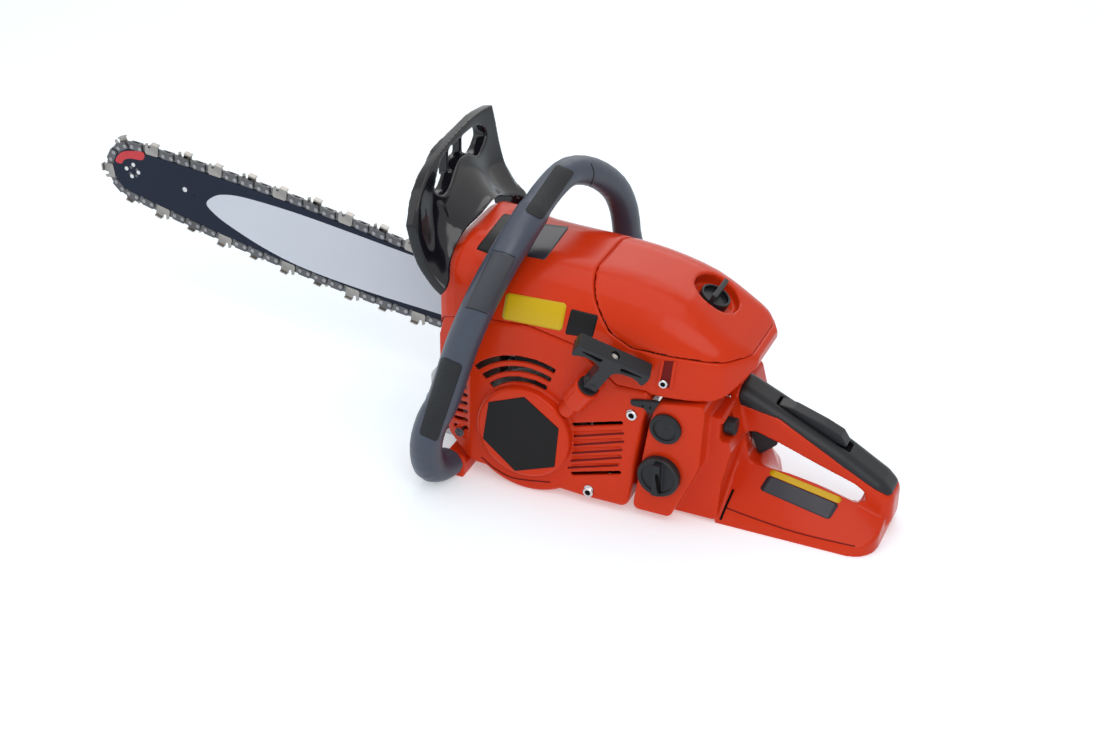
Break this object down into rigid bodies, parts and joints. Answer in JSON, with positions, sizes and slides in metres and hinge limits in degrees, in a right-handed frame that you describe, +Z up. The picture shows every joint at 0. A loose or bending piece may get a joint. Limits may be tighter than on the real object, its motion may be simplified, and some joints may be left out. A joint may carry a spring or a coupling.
{
  "type": "petrol chainsaw",
  "caption": "Petrol chainsaw with a nose-sprocket guide bar, cutting chain, wrap handle, tipping hand guard, recoil starter and rear throttle handle.",
  "frame": {"origin": "on the resting plane, straight below the crankshaft's axis at the joint of the crankcase halves", "axes": "+X forward along the bar's side of the saw, +Y to the operator's left where the starter is, +Z up"},
  "size_m": [0.7733, 0.2268, 0.272],
  "materials": {
    "cast_case": "die-cast magnesium, bead blasted",
    "cast_case_right": "die-cast magnesium, bead blasted",
    "cylinder_alloy": "die-cast aluminium",
    "piston_alloy": "machined aluminium",
    "rod_steel": "forged steel",
    "pin_steel": "ground steel",
    "crank_steel": "forged and ground steel",
    "bearing_steel": "ground bearing steel",
    "seal_rubber": "moulded rubber",
    "flywheel_alloy": "die-cast aluminium",
    "nut_steel": "zinc-plated steel",
    "coil_casing": "potted coil in dark plastic",
    "plug_body": "nickel-plated steel and ceramic",
    "boot_rubber": "moulded rubber",
    "lead_rubber": "rubber-covered lead",
    "pump_metal": "machined alloy",
    "needle_steel": "ground steel",
    "drum_steel": "turned steel",
    "hub_steel": "sintered steel",
    "shoe_steel": "sintered steel with a wound spring",
    "band_steel": "spring steel strip",
    "chain_links": "oiled steel",
    "chain_straps": "oiled dark steel",
    "chain_cutter_steel": "chrome-plated steel with ground edges",
    "bar_steel": "dark blue paint on steel with a pale field",
    "nose_steel": "hardened steel",
    "side_plate_steel": "stamped sheet steel",
    "tension_steel": "zinc-plated steel",
    "tension_pin_steel": "sintered steel",
    "cover_plastic": "glossy orange-red moulding",
    "stud_steel": "zinc-plated steel",
    "bumper_steel": "stamped steel plate",
    "catcher_alloy": "die-cast aluminium",
    "spring_steel": "wound spring wire",
    "starter_plastic": "glossy orange-red moulding",
    "screw_steel": "bright socket screws",
    "bush_plastic": "black moulding",
    "starter_grip_plastic": "black moulding",
    "rope_cord": "braided cord",
    "pulley_plastic": "glass-filled moulding with wound cord",
    "recoil_steel": "coiled spring strip",
    "air_cover_plastic": "glossy orange-red moulding",
    "shroud_plastic": "glossy orange-red moulding",
    "knob_plastic": "grey moulding",
    "muffler_steel": "heat-tinted sheet steel",
    "intake_rubber": "moulded rubber",
    "carb_alloy": "die-cast zinc alloy",
    "filter_felt": "pleated felt on a plastic plate",
    "tank_plastic": "glossy orange-red glass-filled moulding",
    "grip_rubber": "satin black soft moulding",
    "trigger_plastic": "black moulding",
    "lockout_plastic": "black moulding",
    "fuel_cap_plastic": "black moulding",
    "oil_cap_plastic": "black moulding",
    "plug_plastic": "black moulding",
    "choke_plastic": "black moulding",
    "mount_rubber": "moulded rubber",
    "handle_cover": "tube with a dark matte plastic cover",
    "guard_plastic": "gloss black moulding"
  },
  "bodies": {
    "engine_unit": {"crankcase_left": "cast_case", "crankcase_right": "cast_case_right", "cylinder": "cylinder_alloy", "piston": "piston_alloy", "main_bearings": "bearing_steel", "crank_seals": "seal_rubber", "ignition_coil": "coil_casing", "spark_plug": "plug_body", "plug_boot": "boot_rubber", "ignition_lead": "lead_rubber", "oil_pump": "pump_metal", "drum_bearing": "needle_steel", "clutch_drum": "drum_steel", "brake_band": "band_steel", "chain_drive_links": "chain_links", "chain_tie_straps": "chain_straps", "chain_cutters": "chain_cutter_steel", "guide_bar": "bar_steel", "nose_sprocket": "nose_steel", "inner_bar_plate": "side_plate_steel", "tension_screw": "tension_steel", "tension_pin": "tension_pin_steel", "clutch_cover": "cover_plastic", "bar_studs": "stud_steel", "spike_bumper": "bumper_steel", "chain_catcher": "catcher_alloy", "brake_spring": "spring_steel", "starter_cover": "starter_plastic", "starter_screws": "screw_steel", "rope_bush": "bush_plastic", "recoil_spring": "recoil_steel", "air_filter_cover": "air_cover_plastic", "cylinder_shroud": "shroud_plastic", "muffler": "muffler_steel", "intake_boot": "intake_rubber", "carburetor": "carb_alloy", "air_filter": "filter_felt", "tank_and_rear_handle": "tank_plastic", "rear_grip": "grip_rubber", "buffer_plug": "plug_plastic", "vibration_mounts": "mount_rubber", "front_handle": "handle_cover"},
    "crank": {"crankshaft": "crank_steel", "flywheel": "flywheel_alloy", "flywheel_nut": "nut_steel", "clutch_hub": "hub_steel", "clutch_shoes": "shoe_steel"},
    "rod": {"connecting_rod": "rod_steel", "gudgeon_pin": "pin_steel"},
    "trigger": {"throttle_trigger": "trigger_plastic"},
    "lockout": {"throttle_lockout": "lockout_plastic"},
    "guard": {"hand_guard": "guard_plastic"},
    "choke": {"choke_knob": "choke_plastic"},
    "filter_knob": {"cover_knob": "knob_plastic"},
    "fuel_filler": {"fuel_cap": "fuel_cap_plastic"},
    "oil_filler": {"oil_cap": "oil_cap_plastic"},
    "pull_grip": {"starter_grip": "starter_grip_plastic", "starter_rope": "rope_cord"},
    "rope_pulley": {"starter_pulley": "pulley_plastic"}
  },
  "joints": [
    {"name": "crank_spin", "type": "hinge", "parent": "engine_unit", "child": "crank", "pos_m": [0, 0, 0.06], "axis": [0, 1, 0], "continuous": true},
    {"name": "rod_turn", "type": "hinge", "parent": "crank", "child": "rod", "pos_m": [0, 0, 0.074], "axis": [0, 1, 0], "continuous": true},
    {"name": "trigger_squeeze", "type": "hinge", "parent": "engine_unit", "child": "trigger", "pos_m": [-0.172, 0, 0.072], "axis": [0, 1, 0], "range_deg": [0, 14]},
    {"name": "lockout_press", "type": "hinge", "parent": "engine_unit", "child": "lockout", "pos_m": [-0.192, 0, 0.086], "axis": [0, -1, 0], "range_deg": [0, 4]},
    {"name": "guard_tip", "type": "hinge", "parent": "engine_unit", "child": "guard", "pos_m": [0.072, 0, 0.155], "axis": [0, 1, 0], "range_deg": [0, 20]},
    {"name": "choke_pull", "type": "slide", "parent": "engine_unit", "child": "choke", "axis": [-1, 0, 0], "range_m": [0, 0.01]},
    {"name": "filter_knob_turn", "type": "hinge", "parent": "engine_unit", "child": "filter_knob", "pos_m": [-0.132, 0.002, 0.182], "axis": [-0.4202, 0, 0.9074], "range_deg": [0, 90]},
    {"name": "fuel_cap_turn", "type": "hinge", "parent": "engine_unit", "child": "fuel_filler", "pos_m": [-0.1145, 0.07, 0.0465], "axis": [0, 1, 0], "continuous": true},
    {"name": "oil_cap_turn", "type": "hinge", "parent": "engine_unit", "child": "oil_filler", "pos_m": [0.094, 0.042, 0.032], "axis": [0, 1, 0], "continuous": true},
    {"name": "rope_pull", "type": "slide", "parent": "engine_unit", "child": "pull_grip", "axis": [-0.54, 0.19, 0.82], "range_m": [0, 0.8]},
    {"name": "pulley_turn", "type": "hinge", "parent": "engine_unit", "child": "rope_pulley", "pos_m": [0, 0, 0.06], "axis": [0, 1, 0], "range_deg": [0, 2060]}
  ],
  "couplings": [
    {"joint": "rod_turn", "follows": "crank_spin", "ratio": -1},
    {"joint": "pulley_turn", "follows": "rope_pull", "rad_per_m": 44.9}
  ]
}
